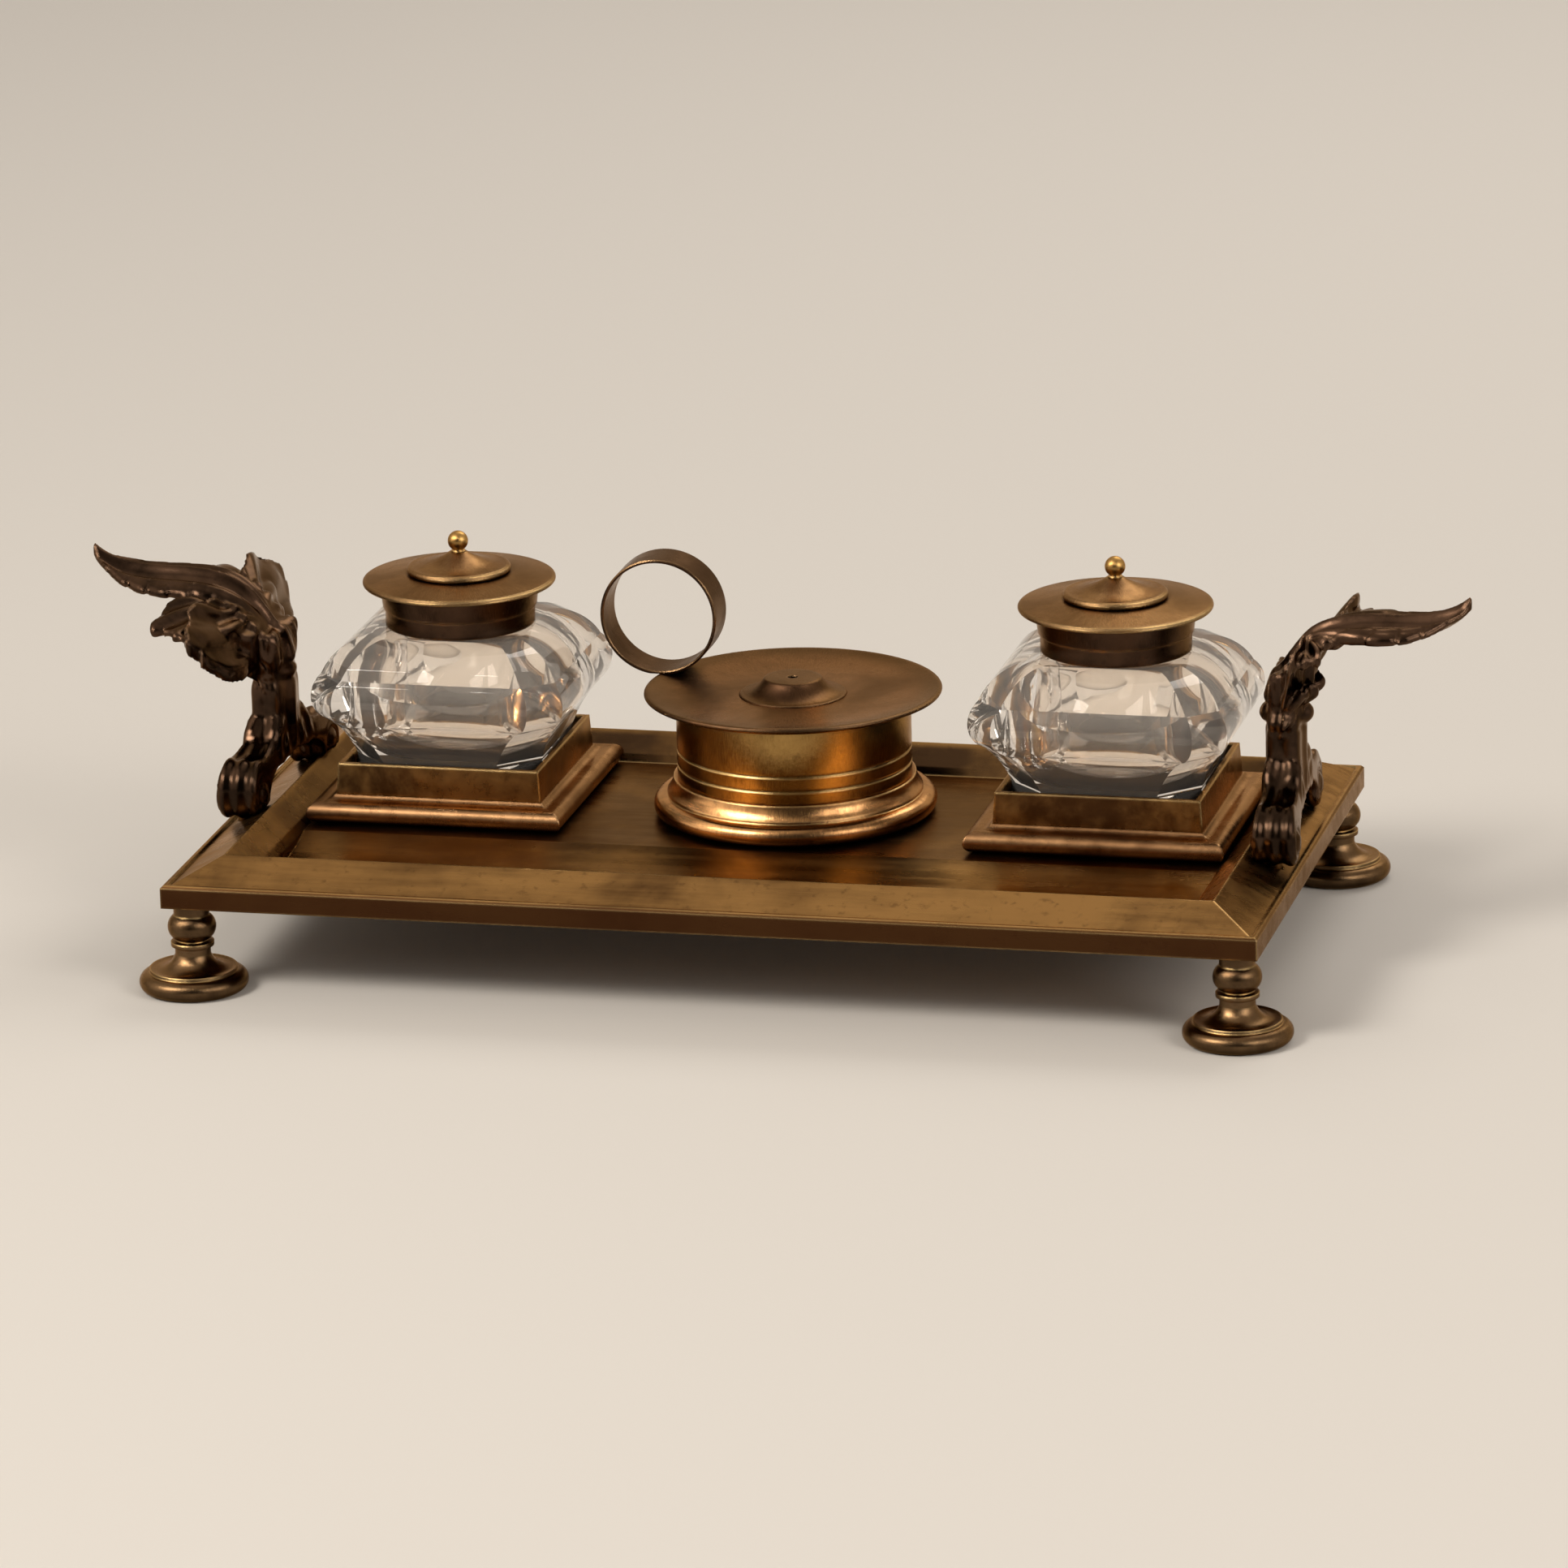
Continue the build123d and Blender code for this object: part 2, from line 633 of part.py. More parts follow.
def bracket_legs():
    """Two scroll legs that meet under the stem, with an arch between them."""
    foot_z = band_height(bracket_inset) + 0.89 * scroll_radius
    top = foot_z + leg_rise
    knee_z = foot_z + 1.65 * scroll_radius
    inner = leg_spread - scroll_radius
    outer = leg_spread + scroll_radius
    crown = foot_z + leg_arch
    outline = path(
        Line((0, top), (stem_depth / 2, top)),
        ThreePointArc((stem_depth / 2, top), (leg_spread * 0.58, knee_z + scroll_radius * 0.12),
                      (leg_spread * 0.96, knee_z)),
        ThreePointArc((leg_spread * 0.96, knee_z),
                      (leg_spread + scroll_radius * 0.90, foot_z + scroll_radius * 0.88),
                      (outer, foot_z)),
        ThreePointArc((outer, foot_z), (leg_spread, foot_z - scroll_radius), (inner, foot_z)),
        ThreePointArc((inner, foot_z), (leg_spread * 0.60, foot_z + leg_arch * 0.68),
                      (leg_spread * 0.36, foot_z + leg_arch * 0.79)),
        ThreePointArc((leg_spread * 0.36, foot_z + leg_arch * 0.79),
                      (leg_spread * 0.2, foot_z + leg_arch * 0.94), (0, crown)),
        Line((0, crown), (0, top)),
    )
    half = make_face(Plane.YZ * outline)
    side_view = extrude(half + mirror(half, Plane.XZ), scroll_width / 2, both=True)
    low = lip_top - lip_height
    waist = foot_z + 2 * scroll_radius
    half_foot, half_stem = scroll_width / 2, stem_width / 2
    flank_z = waist - scroll_radius
    front_outline = path(
        Line((-half_foot, low), (half_foot, low)),
        Line((half_foot, low), (half_foot, foot_z)),
        ThreePointArc((half_foot, foot_z), (0.93 * half_foot, flank_z), (half_stem, waist)),
        Line((half_stem, waist), (half_stem, top)),
        Line((half_stem, top), (-half_stem, top)),
        Line((-half_stem, top), (-half_stem, waist)),
        ThreePointArc((-half_stem, waist), (-0.93 * half_foot, flank_z), (-half_foot, foot_z)),
        Line((-half_foot, foot_z), (-half_foot, low)),
    )
    front_view = extrude(make_face(Plane.XZ * front_outline), leg_spread * 2, both=True)
    legs = side_view & front_view
    for end in (-1, 1):
        eye = Pos(0, end * leg_spread, foot_z) * Rot(0, 90, 0)
        legs += eye * Cylinder(scroll_eye, scroll_width + 2 * scroll_eye_proud)
    return legs


def stem():
    """The stem: it spreads below into the legs, over their arch, and above into the leaf."""
    low = band_height(bracket_inset) + 0.89 * scroll_radius + leg_arch + stem_above_arch
    high = stem_height + 0.14 * leaf_rise
    stations = ((0.0, 0.0, 1.16, 1.32), (0.28, 0.0, 1.0, 1.0), (0.58, 0.0, 1.0, 1.0),
                (0.80, 0.07, 1.05, 1.08), (1.0, 0.26, 1.15, 1.3))
    sections = []
    for share, lean, width, depth in stations:
        section = RectangleRounded(stem_width * width, stem_depth * depth, stem_width * 0.4)
        sections.append(Pos(lean * stem_width, 0, low + (high - low) * share) * section)
    return loft(sections)


def leaflet(length, half_width, angle, start=0.0):
    """A pointed oval, turned by an angle from straight outward."""
    middle = length * 0.46
    upper = ThreePointArc((0, 0), (middle, half_width), (length, 0))
    lower = ThreePointArc((length, 0), (middle, -half_width), (0, 0))
    return Pos(start, 0) * Rot(0, 0, angle) * make_face(Curve() + [upper, lower])


def line_under(points, depths):
    """Points a depth below a line of points, square to it."""
    found = []
    for index, (x, z) in enumerate(points):
        x0, z0 = points[max(index - 1, 0)]
        x1, z1 = points[min(index + 1, len(points) - 1)]
        run = hypot(x1 - x0, z1 - z0)
        depth = depths[index] * leaf_plate
        found.append((x + depth * (z1 - z0) / run, z - depth * (x1 - x0) / run))
    return found


def arched_sheet(upper_line, depths, arch_radius, half_angle):
    """A sheet bent outward and arched from front to back, from (outward, height) points."""
    lower_line = line_under(upper_line, depths)
    top, under = Spline(*upper_line), Spline(*lower_line)
    ends = [Line(upper_line[-1], lower_line[-1]), Line(lower_line[0], upper_line[0])]
    section = make_face(Plane.XZ * path(top, under, *ends))
    axis = Axis((0, 0, upper_line[2][1] - arch_radius), (1, 0, 0))
    sheet = revolve(section, axis, revolution_arc=2 * half_angle)
    return sheet.rotate(axis, -half_angle)


def above_stem(shares):
    """(outward, height) points from shares of the leaf's length and of its rise."""
    tip = bracket_reach + bracket_inset
    return [(tip * out, stem_height + leaf_rise * up) for out, up in shares]


def leaf():
    """The broad leaf: a middle lobe outward, two drooping diagonal lobes, two raised side lobes."""
    tip = bracket_reach + bracket_inset
    tip_share = (leaf_tip_height - stem_height) / leaf_rise
    middle_line = above_stem([(-0.072, -0.38), (0.025, 0.32), (0.20, 0.83), (0.50, 1.0),
                              (0.79, 1.06), (1.01, tip_share)])
    middle_depths = (1.2, 1.25, 1.2, 1.0, 0.8, 0.45)
    side_line = above_stem([(-0.06, -0.42), (0.05, 0.0), (0.13, 0.40), (0.20, 0.72),
                            (0.30, 1.06)])
    side_depths = (1.1, 1.1, 1.0, 0.9, 0.8)
    floor = Plane.XY.offset(stem_height - 0.55 * leaf_rise)
    height = 2 * (leaf_tip_height - stem_height) + leaf_rise

    lobe = leaflet(tip, leaf_half_width, 0) + Pos(0.11 * tip, 0) * Ellipse(0.21 * tip, 0.25 * tip)
    blade = arched_sheet(middle_line, middle_depths, leaf_arch_radius, 8)
    body = blade & extrude(floor * lobe, height)
    pair = Pos(0.11 * tip, 0) * Circle(0.15 * tip)
    pair += leaflet(diagonal_lobe, diagonal_half_width, diagonal_angle)
    pair += leaflet(diagonal_lobe, diagonal_half_width, -diagonal_angle)
    lower_line = [(x, z - diagonal_step) for x, z in middle_line]
    blade = arched_sheet(lower_line, middle_depths, diagonal_arch_radius, 26)
    body += blade & extrude(floor * pair, height)
    start = 0.10 * tip
    pair = Pos(start, 0) * Circle(0.09 * tip)
    pair += leaflet(side_lobe, side_half_width, side_angle, start)
    pair += leaflet(side_lobe, side_half_width, -side_angle, start)
    blade = arched_sheet(side_line, side_depths, side_arch_radius, 9)
    body += blade & extrude(floor * pair, height)

    spine = Spline(*[(x, 0, z) for x, z in middle_line])
    start = Plane(origin=spine @ 0, z_dir=spine % 0)
    rib = sweep(start * Circle(rib_radius), path=spine)
    return body + (rib & extrude(floor * lobe, height))


def lower_leaf():
    """Two small lobes under the broad leaf, one to the front and one to the back."""
    line = above_stem([(-0.055, -0.82), (0.035, -0.31), (0.16, -0.055), (0.30, 0.07)])
    outline = Circle(0.8 * lower_half_width)
    outline += leaflet(lower_lobe, lower_half_width, lower_angle)
    outline += leaflet(lower_lobe, lower_half_width, -lower_angle)
    blade = arched_sheet(line, (1.3, 1.15, 1.0, 0.75), leaf_arch_radius, 9)
    return blade & extrude(Plane.XY.offset(stem_height - 2 * leaf_rise) * outline, 4 * leaf_rise)


def bracket_raw():
    """One bracket as cast, standing at x = 0 and reaching out along +X."""
    collar_size = (0.71 * stem_width, 0.58 * stem_depth, knuckle_half)
    knuckle = Pos(0, 0, stem_height - knuckle_below) * scale(Sphere(1), collar_size)
    upright = bracket_legs() + stem() + knuckle
    return Rot(0, 0, bracket_turn) * upright + leaf() + lower_leaf()


def bracket(side):
    """A bracket seated on the band at one end of the tray."""
    body = bracket_raw()
    if side < 0:
        body = mirror(body, Plane.YZ)
    body = Pos(side * (tray_length / 2 - bracket_inset), bracket_y, 0) * body
    body -= tray_outside()
    for x, y in bracket_screw_places():
        if x * side > 0:
            body -= cylinder(bolt_radius, tray_under, ridge_top + screw_length_above, x, y)
    return body


def bracket_screws():
    """Four screws with their heads in the hollow under the band."""
    screw = (cylinder(bolt_radius, screw_seat, ridge_top + screw_length_above)
             + cylinder(screw_head_radius, screw_seat - bolt_head, screw_seat))
    return [Pos(px, py, 0) * screw for px, py in bracket_screw_places()]


# ---------------------------------------------------------------- the assembly
def assembly():
    parts = {"tray": tray()}
    for name, (x, y) in corners(foot_inset).items():
        parts[f"foot_{name}"] = Pos(x, y, 0) * foot()
    shapes = {
        "plinth": plinth(), "gallery": gallery(), "inkwell_glass": glass(),
        "collar": collar(), "lid_disc": lid_disc(), "lid_skirt": lid_skirt(),
        "lid_boss": lid_boss(), "finial": finial(), "finial_nut": finial_nut(),
    }
    for word, side in SIDES.items():
        for name, shape in shapes.items():
            parts[f"{name}_{word}"] = place(shape, side * well_x)
        parts[f"bracket_{word}"] = bracket(side)
    parts["inkwell_bolts"] = [place(clamp_bolt(glass_foot), s * well_x) for s in SIDES.values()]
    parts["inkwell_nuts"] = [place(clamp_nut(), s * well_x) for s in SIDES.values()]
    pot_shapes = {
        "pot_bolt": clamp_bolt(deck_top + 2.0), "pot_nut": clamp_nut(),
        "pot_base": pot_base(), "pot_body": pot_body(), "cover_pan": pan(),
        "cover_skirt": pan_skirt(), "cover_bell": bell(), "finger_ring": finger_ring(),
    }
    for name, shape in pot_shapes.items():
        parts[name] = place(shape, pot_centre_x, pot_centre_y)
    parts["bracket_screws"] = bracket_screws()
    return parts


def as_solid(shape):
    """One solid, or a group of separate solids, ready to be written."""
    pieces = shape if isinstance(shape, list) else [shape]
    solids = [solid for piece in pieces for solid in piece.solids()]
    return solids[0] if len(solids) == 1 else Compound(children=solids)


os.makedirs("parts", exist_ok=True)
for node, shape in assembly().items():
    export_step(as_solid(shape), f"parts/{node}.step")
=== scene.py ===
"""The desk inkstand's looks: patinated brass and bronze, and moulded glass, on a pale floor.

The frame's solids are dressed as they are, apart from the two brackets: each of those is
shown as a cast, which is a copy of its solid with the carving of the photographed castings.
"""

import math

import bpy
import bmesh
import numpy as np
from mathutils import Matrix, Vector
from mathutils.bvhtree import BVHTree


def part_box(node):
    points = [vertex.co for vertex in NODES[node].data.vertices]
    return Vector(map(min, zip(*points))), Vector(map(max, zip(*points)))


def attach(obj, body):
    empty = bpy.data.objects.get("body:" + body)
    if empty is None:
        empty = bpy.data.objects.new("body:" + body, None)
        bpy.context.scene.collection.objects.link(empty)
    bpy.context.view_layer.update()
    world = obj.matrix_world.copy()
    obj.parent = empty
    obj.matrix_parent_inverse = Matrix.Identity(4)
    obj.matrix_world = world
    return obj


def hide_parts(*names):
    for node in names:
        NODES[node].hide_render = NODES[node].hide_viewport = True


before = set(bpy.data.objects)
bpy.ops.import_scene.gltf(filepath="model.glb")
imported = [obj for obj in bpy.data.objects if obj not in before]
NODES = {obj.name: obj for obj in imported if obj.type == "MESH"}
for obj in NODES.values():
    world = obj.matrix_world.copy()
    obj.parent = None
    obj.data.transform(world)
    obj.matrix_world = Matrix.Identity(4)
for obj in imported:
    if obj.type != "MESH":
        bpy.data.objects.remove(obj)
bpy.context.view_layer.update()
SIDES = ("left", "right")

# Camera: the photograph's, fitted to the tray, the lids, the cover and the feet.
IMAGE_SIDE = 1932
FOCAL_PIXELS = 11934.0
SENSOR = 36.0
CLIP = (0.05, 30.0)
CAMERA_PLACE = Vector((0.5230, -2.1321, 0.6920))
CAMERA_RIGHT = Vector((0.97295, 0.22973, -0.02405))
CAMERA_UP = Vector((-0.04335, 0.28385, 0.95789))
CAMERA_BACK = Vector((0.22688, -0.93094, 0.28614))

# Floor and light.
FLOOR_HALF = 4.0
FLOOR_COLOUR = (0.70, 0.655, 0.60, 1)
FLOOR_ROUGHNESS = 0.85
FLOOR_SHINE = 0.2
WORLD_COLOUR = (0.86, 0.80, 0.73, 1)
WORLD_LIGHT = 0.42
WORLD_SEEN = 0.80
ROOM_COLOUR = (0.90, 0.79, 0.67, 1)
ROOM_DARK = 0.10           # what polished metal mirrors of the room, before its glows
ROOM_GLOWS = (             # towards, from, to, strength
    ((0.0, 1.0, 0.25), 0.0, 0.75, 0.62),
    ((-0.75, -0.45, 0.50), 0.62, 0.95, 1.70),
    ((0.95, -0.20, 0.35), 0.72, 0.97, 1.10),
    ((0.0, 0.0, 1.0), 0.60, 0.95, 0.60),
    ((-0.62, -0.52, 0.59), 0.960, 0.985, 6.0),
)
LAMPS = (                  # name, place, aim, size, power, colour
    ("key", (-0.85, -0.95, 1.15), (0, 0, 0.04), 0.55, 16.0, (1, 0.96, 0.90)),
    ("fill", (1.25, -0.75, 0.80), (0, 0, 0.04), 0.70, 9.0, (1, 0.95, 0.90)),
    ("back", (0.25, 1.10, 1.15), (0, 0, 0.05), 0.80, 7.0, (1, 0.97, 0.93)),
)

# Colours as they are under plain light. A patina is dark, middle and worn.
WORN_OLIVE = (0.52, 0.37, 0.17)
WORN_BROWN = (0.42, 0.26, 0.13)
WORN_GOLD = (0.80, 0.58, 0.27)
BROWN_DARK = (0.075, 0.035, 0.017)
BROWN_MIDDLE = (0.200, 0.100, 0.046)
OLIVE_MIDDLE = (0.270, 0.150, 0.052)
OLIVE = ((0.070, 0.035, 0.014), OLIVE_MIDDLE, WORN_OLIVE)
BROWN = (BROWN_DARK, BROWN_MIDDLE, WORN_BROWN)
NUT = (BROWN_DARK, BROWN_MIDDLE, WORN_GOLD)
FASTENER = (BROWN_DARK, OLIVE_MIDDLE, WORN_GOLD)
PLINTH = ((0.130, 0.066, 0.030), (0.275, 0.152, 0.071), WORN_BROWN)
COLLAR = ((0.022, 0.013, 0.008), (0.070, 0.038, 0.022), WORN_BROWN)
LID_DISC = ((0.050, 0.025, 0.012), (0.185, 0.104, 0.048), WORN_GOLD)
LID_BOSS = (BROWN_DARK, (0.24, 0.140, 0.062), WORN_GOLD)
GOLD = ((0.20, 0.108, 0.034), (0.50, 0.31, 0.105), WORN_GOLD)
BRONZE = ((0.018, 0.011, 0.007), (0.066, 0.038, 0.024), (0.26, 0.16, 0.10))
FOOT = ((0.045, 0.026, 0.013), (0.150, 0.092, 0.046), WORN_OLIVE)
POT_BASE = ((0.13, 0.064, 0.026), (0.60, 0.335, 0.145), WORN_GOLD)
POT_BODY = ((0.11, 0.058, 0.018), (0.40, 0.240, 0.076), WORN_GOLD)
COVER = ((0.050, 0.024, 0.012), (0.175, 0.088, 0.042), WORN_BROWN)
BELL = ((0.030, 0.015, 0.008), (0.090, 0.046, 0.022), WORN_BROWN)
RING = ((0.024, 0.013, 0.008), (0.060, 0.034, 0.021), WORN_BROWN)
EDGE_DARK = (0.048, 0.018, 0.007)      # on the tray's upright outer face
SHELF_AND_RIM_SHADE = (0.050, 0.028, 0.015)     # painted shade on the tray's shelf and round the cover's rim
GRAZING = (1.0, 0.76, 0.56)            # what brass mirrors at a grazing angle
BRONZE_GRAZING = (0.80, 0.66, 0.55)
GLASS_TINT = (1.0, 0.93, 0.85)

# Marks on metal. Noise scales are per metre, and depths are in metres.
SPECKLE_SCALE = 420.0
UNEVEN_SCALE = 60.0
LINE_SCALE = 240.0
TURNED_LINE_SCALE = 620.0
ROUND_SLOWLY = 0.6         # what a radian counts for in turned marks, beside a metre
ALONG = (0.12, 1, 1)       # stretches brushed lines along the tray
SHADE_AND_GRIME_SHARE = 0.35         # colour of the painted shade and grime in corners, as a share of the dark patina
SPECKLE_SHOWN = 0.45
RIM_SHOWN = 0.92
GRAIN_DEPTH = 0.00004
GRAIN_STRENGTH = 0.8
LINE_RELIEF = 0.6          # what brushed lines and speckles add to the grain's height
SPECKLE_RELIEF = 0.5
BLOTCH_STEP = (0.30, 0.68)            # noise values between which a mark comes up
SPECKLE_STEP = (0.56, 0.74)
UNEVEN_STEP = (0.30, 0.60)
UNEVEN_SHOWN = (0.45, 0.95)
WEAR_STEP = (0.25, 0.6)
LEAST_WORN = 0.35
EDGE_STEP = (0.995, 0.86)             # cosines between plain and rounded normals
CORNER_STEP = (0.82, 0.30)            # how open a corner is
SOFT_SAMPLES = 4
BLOTCH_POLISH = 0.35       # how much blotches, lines and wear change the roughness
LINE_POLISH = 0.25
WORN_POLISH = 0.12
ROUGHNESS_LIMITS = (0.05, 0.9)
TRAY_HALF = (0.130, 0.070)
RIM_STEP = (-0.0006, -0.0002)
SHELF_SIDE_STEP = (0.0, -0.0015)
SHELF_FRONT_STEP = (-0.004, 0.003)
TRAY_SHELF = (0.1177, 0.0577, -0.0175)    # half length, half width and front line of the shelf's painted shade
COVER_SHADE_BAND = (0.0270, 0.0345)             # radii between which painted shade darkens the cover's rim

# Glass.
GLASS_CLEAR = 0.93
GLASS_IOR = 1.46
GLASS_ROUGHNESS = (0.015, 0.09)
WAVE_SCALE = 34.0
WAVE_DEPTH = 0.0011
WAVE_STRENGTH = 0.5
SCRATCH_SCALE = 260.0
SCRATCH_STEP = (0.45, 0.85)
SCRATCHES_LEVEL = (1, 1, 9)           # scratches lie level, so they change fast upwards

# The cast bracket, in millimetres: outward from its stem, back from its middle, up.
STEM_X = 123.0
STEM_Y = 6.5
STEM_HALF = (3.8, 7.8)     # outward, and from its middle to its front or back
LEG_SPREAD = 24.0
SCROLL_Z = 33.2
SCROLL_EYE = 1.9
LEAF_BASE = (62.0, 66.5)   # heights between which a carving sets in or ends
STEM_BASE = (39.0, 45.0)
STEM_TOP = (66.0, 71.0)
LEG_RIB_BASE = (38.0, 41.0)
LEG_TOP = (41.0, 46.0)
LEAF_ROOT = 1.5            # outward: where the small lobes spread from
KNUCKLE_Z = 58.0
MIDDLE_LOBE = (44.2, 12.0)            # length and half width
LOBE_WIDEST = 0.46                    # as a share of its length
DIAGONAL_LOBE = (36.5, 53.5, 0.0)     # length, angle and where it starts
SIDE_LOBE = (41.0, 83.0, 4.4)

# The web of leaf between two lobes.
WEB_SPAN = (0.24, 0.95)    # as shares of the lobes' lengths
WEB_STEPS = 15
WEB_COLUMNS = 13
WEB_TEETH = 3.5
WEB_TOOTH = 0.03
WEB_THICKNESS = 0.0019
ABOVE_LEAF = 120.0

# Carving: heights, pitches in millimetres and angles in degrees.
VOXEL = 0.00045
CAST_ROUNDS = 11           # rounds of smoothing before the carving
CARVED_ROUNDS = 2          # and after it
RIB_HEIGHT = 0.55
FINE_RIB_HEIGHT = 0.10
TOOTH_PITCH = 5.6
TOOTH_SHARE = 0.12         # as a share of the leaf's half width
FAN_RIB_HEIGHT = 0.50
FAN_RIB_ANGLE = 12.4
FAN_TOOTH_DEPTH = 1.7
FAN_TOOTH_ANGLE = 7.4
STEM_SWELL = 0.7
FLUTE_HEIGHT = 0.45
FLUTES = 6
KNUCKLE_HALF = 2.2
KNUCKLE_SIDES = (10.0, 13.0)
KNUCKLE_FLAT = 1.1         # the left casting's is flatter
KNUCKLE_LEAF_HEIGHT = 0.2
KNUCKLE_LEAVES = 7
KNUCKLE_GROOVE = 0.25
KNUCKLE_GROOVE_AT = 2.7
KNUCKLE_GROOVE_HALF = 0.6
VOLUTE_PITCH = 2.0
VOLUTE_DEPTH = 0.55
VOLUTE_GROOVE = 0.16       # half a groove's width, as a share of the pitch
VOLUTE_START = (SCROLL_EYE, 2.6)
VOLUTE_END = (4.9, 5.8)
TOE_HEIGHT = 0.34
TOE_PITCH = 3.7
TOE_OFFSET = 1.7
LEG_RIB_HEIGHT = 0.3
LEG_RIB_PITCH = 5.2
DRAWN_REACH = 6.5          # the right casting's front lobes are drawn in beyond this
DRAWN_SHARE = 0.36
DRAWN_FROM = (22.0, 42.0)  # angles and heights of the lobes that are drawn in
DRAWN_TO = (130.0, 150.0)
DRAWN_ABOVE = (56.0, 60.0)
UNDER_FROM = (24.0, 36.0)
UNDER_ABOVE = (54.0, 57.0)
UNDER_BELOW = (66.5, 68.5)
BACK_DROOP = 2.4           # the left casting's back lobes hang lower at their tips


class Tree:
    """The node tree of a material or a world, with short calls to add nodes and link them."""

    def __init__(self, owner):
        owner.use_nodes = True
        self.tree = owner.node_tree
        self.tree.nodes.clear()

    def add(self, kind, **settings):
        node = self.tree.nodes.new(kind)
        for key, value in settings.items():
            setattr(node, key, value)
        return node

    def link(self, source, target):
        self.tree.links.new(source, target)

    def feed(self, target, value):
        """Links a socket to the target, or sets a plain value on it."""
        if isinstance(value, bpy.types.NodeSocket):
            self.link(value, target)
        else:
            target.default_value = value

    def math(self, operation, first, second=0.0, clamp=False):
        node = self.add("ShaderNodeMath", operation=operation, use_clamp=clamp)
        self.feed(node.inputs[0], first)
        self.feed(node.inputs[1], second)
        return node.outputs[0]

    def span(self, value, low, high, new_low=0.0, new_high=1.0):
        """value taken from low..high to new_low..new_high, held at both ends."""
        node = self.add("ShaderNodeMapRange", clamp=True, interpolation_type="SMOOTHSTEP")
        self.feed(node.inputs["Value"], value)
        node.inputs["From Min"].default_value = low
        node.inputs["From Max"].default_value = high
        node.inputs["To Min"].default_value = new_low
        node.inputs["To Max"].default_value = new_high
        return node.outputs["Result"]


class Look(Tree):
    """A material with one shader, and the masks and marks that feed it."""

    def __init__(self, name):
        self.material = bpy.data.materials.new(name)
        super().__init__(self.material)
        surface = self.add("ShaderNodeOutputMaterial").inputs["Surface"]
        self.shader = self.add("ShaderNodeBsdfPrincipled")
        self.link(self.shader.outputs[0], surface)

    def place(self, centre=(0, 0, 0)):
        """Where a point is on the object, in metres from centre."""
        coordinates = self.add("ShaderNodeTexCoord")
        shifted = self.add("ShaderNodeVectorMath", operation="SUBTRACT")
        self.link(coordinates.outputs["Object"], shifted.inputs[0])
        shifted.inputs[1].default_value = centre
        return shifted.outputs[0]

    def split(self, vector):
        """The three parts of a vector."""
        parts = self.add("ShaderNodeSeparateXYZ")
        self.link(vector, parts.inputs[0])
        return parts.outputs

    def scaled(self, vector, factors):
        node = self.add("ShaderNodeVectorMath", operation="MULTIPLY")
        self.link(vector, node.inputs[0])
        node.inputs[1].default_value = factors
        return node.outputs[0]

    def noise(self, vector, scale, detail=4.0, rough=0.55, distortion=0.0):
        node = self.add("ShaderNodeTexNoise")
        self.link(vector, node.inputs["Vector"])
        node.inputs["Scale"].default_value = scale
        node.inputs["Detail"].default_value = detail
        node.inputs["Roughness"].default_value = rough
        node.inputs["Distortion"].default_value = distortion
        return node.outputs["Fac"]

    def mix(self, factor, first, second):
        """first where factor is 0, and second where it is 1."""
        node = self.add("ShaderNodeMix", data_type="RGBA")
        self.feed(node.inputs[0], factor)
        self.feed(node.inputs[6], first)
        self.feed(node.inputs[7], second)
        return node.outputs[2]

    def radius(self, parts):
        """How far a point lies from the upright axis."""
        across = self.math("MULTIPLY", parts[0], parts[0])
        deep = self.math("MULTIPLY", parts[1], parts[1])
        return self.math("SQRT", self.math("ADD", across, deep))

    def turned(self, vector):
        """A vector that changes fast with radius and height, and slowly round the axis."""
        parts = self.split(vector)
        angle = self.math("ARCTAN2", parts[1], parts[0])
        joined = self.add("ShaderNodeCombineXYZ")
        self.link(self.radius(parts), joined.inputs[0])
        self.link(parts[2], joined.inputs[1])
        self.link(self.math("MULTIPLY", angle, ROUND_SLOWLY), joined.inputs[2])
        return joined.outputs[0]

    def edges(self, radius):
        """A mask, near 1 on sharp edges and 0 on flats, and the normal of rounded edges."""
        soft = self.add("ShaderNodeBevel", samples=SOFT_SAMPLES)
        soft.inputs["Radius"].default_value = radius
        plain = self.add("ShaderNodeNewGeometry")
        dot = self.add("ShaderNodeVectorMath", operation="DOT_PRODUCT")
        self.link(soft.outputs[0], dot.inputs[0])
        self.link(plain.outputs["Normal"], dot.inputs[1])
        return self.span(dot.outputs["Value"], *EDGE_STEP), soft.outputs[0]

    def corners(self, reach):
        """Near 1 in corners and hollows, which get painted shade and dark patina, and 0 in the
        open.
        """
        node = self.add("ShaderNodeAmbientOcclusion", samples=SOFT_SAMPLES)
        node.inputs["Distance"].default_value = reach
        return self.span(node.outputs["AO"], *CORNER_STEP)

    def past(self, parts, half_length, half_width):
        """How far a point lies outside a rectangle of these half sizes."""
        past_end = self.math("SUBTRACT", self.math("ABSOLUTE", parts[0]), half_length)
        past_side = self.math("SUBTRACT", self.math("ABSOLUTE", parts[1]), half_width)
        return self.math("MAXIMUM", past_end, past_side)

    def rim_face(self, half_length, half_width):
        """1 on the upright outer face of a rectangle of these half sizes, and 0 inside it."""
        parts = self.split(self.place())
        return self.span(self.past(parts, half_length, half_width), *RIM_STEP)

    def shelf(self, half_length, half_width, front):
        """1 inside a rectangle and behind a front line, and 0 elsewhere."""
        parts = self.split(self.place())
        inside = self.span(self.past(parts, half_length, half_width), *SHELF_SIDE_STEP)
        behind = self.span(parts[1], *(front + step for step in SHELF_FRONT_STEP))
        return self.math("MULTIPLY", inside, behind)

    def rim_band(self, vector, inner, outer):
        """0 inside the inner radius and 1 outside the outer one."""
        return self.span(self.radius(self.split(vector)), inner, outer)

